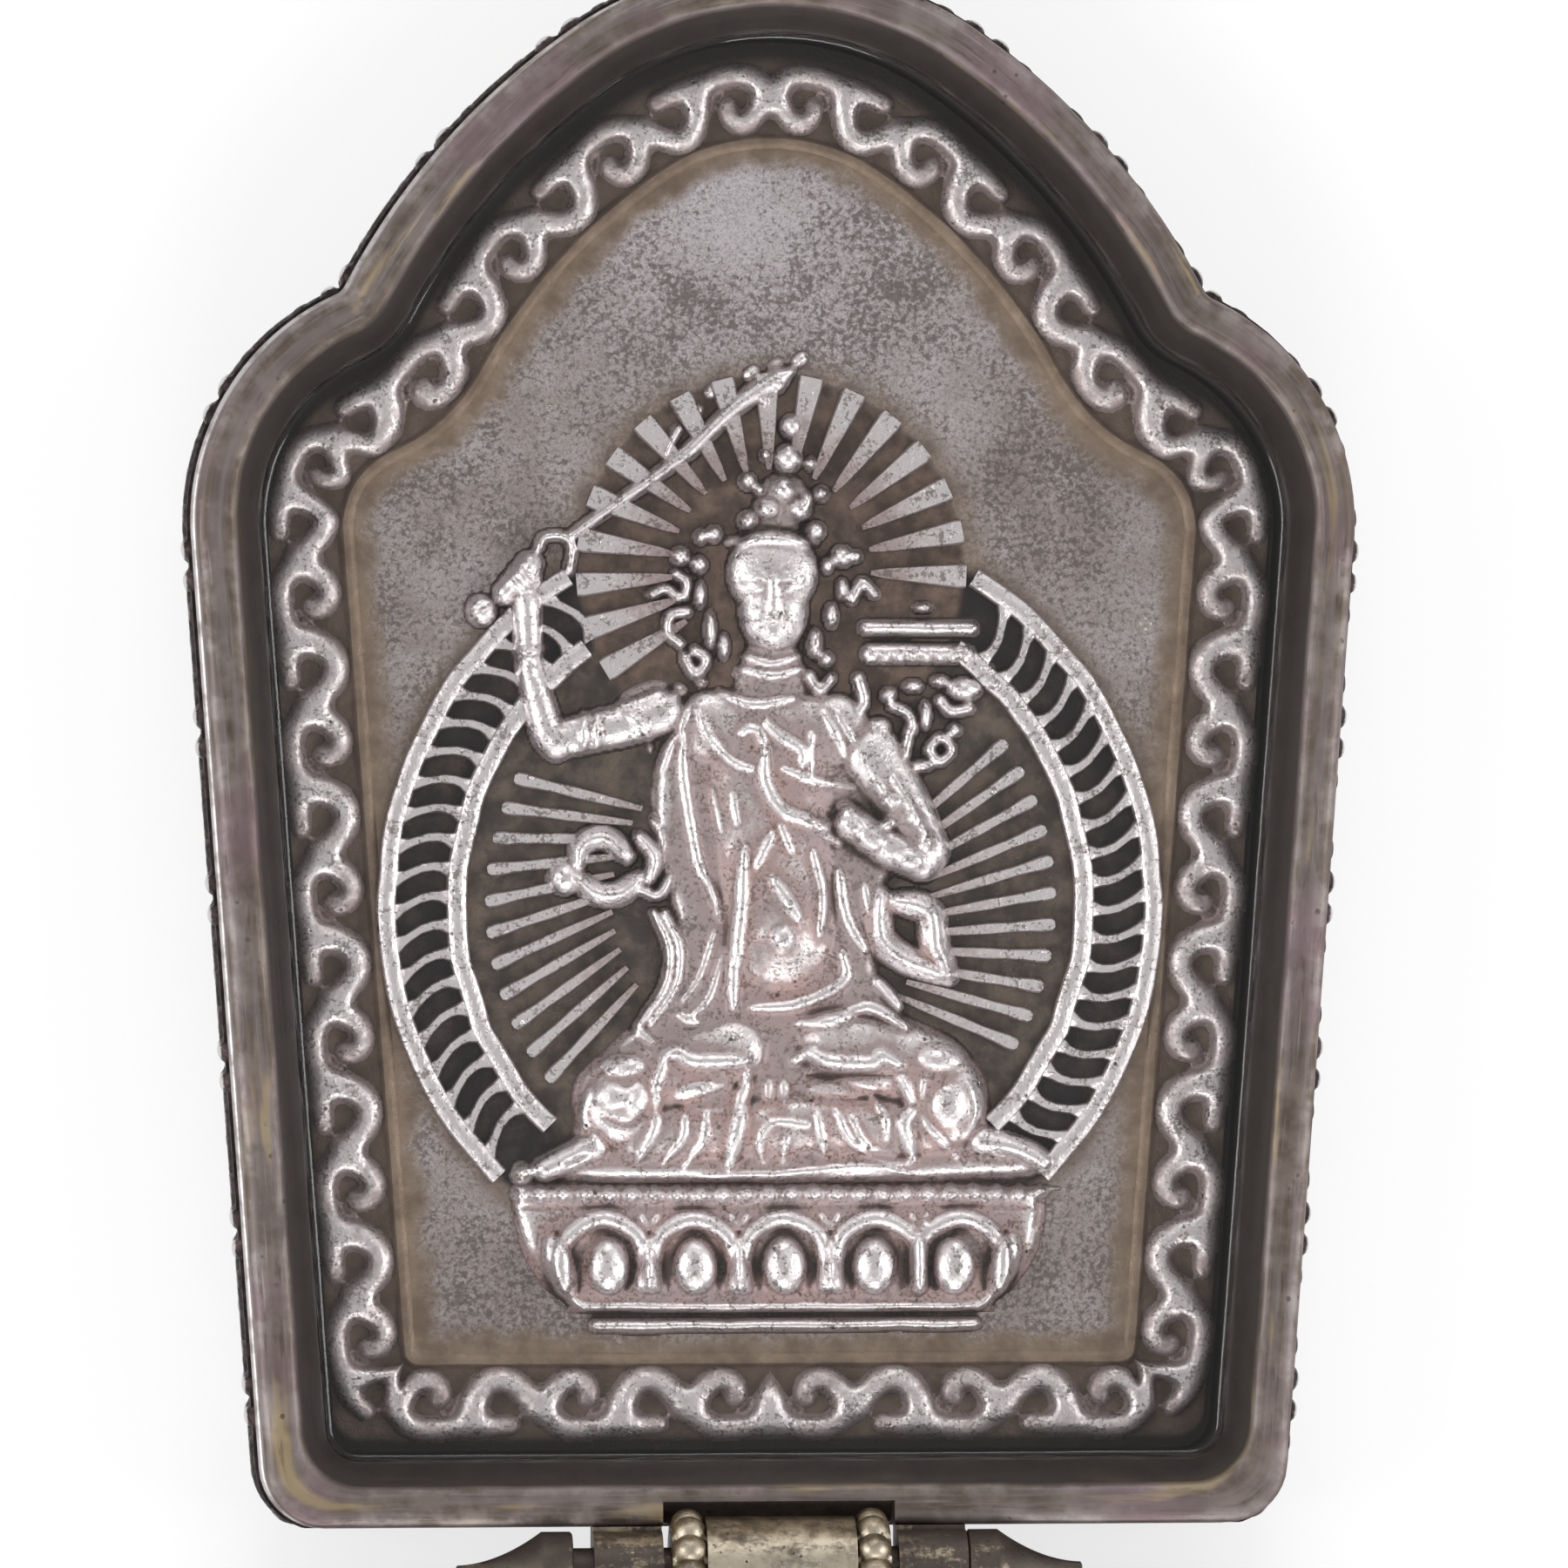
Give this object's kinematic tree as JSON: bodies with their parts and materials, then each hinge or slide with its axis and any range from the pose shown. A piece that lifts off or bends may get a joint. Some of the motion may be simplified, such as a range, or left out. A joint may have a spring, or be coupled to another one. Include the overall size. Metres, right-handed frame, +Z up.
{
  "type": "ghau amulet box",
  "caption": "Hinged devotional amulet box of cusped arch outline, lying open, with a seated relief figure under clear resin, a pin hinge with horn finials and cord tubes at the crown.",
  "frame": {"origin": "on the table, straight below the middle of the hinge axis, halfway along the open box", "axes": "+Y from the hinge to the crown of the half with the relief, +Z up off the table, X along the hinge pin"},
  "size_m": [0.043, 0.1232, 0.0091],
  "materials": {
    "antique_silver": "silver-plated casting, browned and rubbed bright on its edges",
    "worn_silver": "silver plate over copper, worn bright on the high parts and dark in the hollows",
    "blackened_silver": "blackened ground with rubbed ornament",
    "aged_brass": "brassy metal with dark patina",
    "clear_resin": "clear cast resin, glossy, with small bubbles"
  },
  "bodies": {
    "rear_half": {"rear_shell": "antique_silver", "relief_plate": "worn_silver", "clear_resin": "clear_resin", "rear_side_band": "blackened_silver", "rear_upper_wire": "antique_silver", "rear_lower_wire": "antique_silver", "left_hinge_knuckle": "aged_brass", "right_hinge_knuckle": "aged_brass", "left_cord_tube": "aged_brass", "right_cord_tube": "aged_brass"},
    "pin": {"hinge_pin": "aged_brass", "left_pin_finial": "aged_brass", "right_pin_finial": "aged_brass"},
    "cover": {"cover_shell": "antique_silver", "closing_lip": "antique_silver", "cover_side_band": "blackened_silver", "cover_upper_wire": "antique_silver", "cover_lower_wire": "antique_silver", "hinge_barrel": "aged_brass", "left_barrel_ring": "aged_brass", "right_barrel_ring": "aged_brass", "cover_cord_tube": "aged_brass"}
  },
  "joints": [
    {"name": "cover_hinge", "type": "hinge", "parent": "rear_half", "child": "cover", "pos_m": [0, 0, 0.00685], "axis": [-1, 0, 0], "range_deg": [0, 180]},
    {"name": "pin_float", "type": "slide", "parent": "rear_half", "child": "pin", "axis": [1, 0, 0], "range_m": [0, 0.0007]}
  ]
}
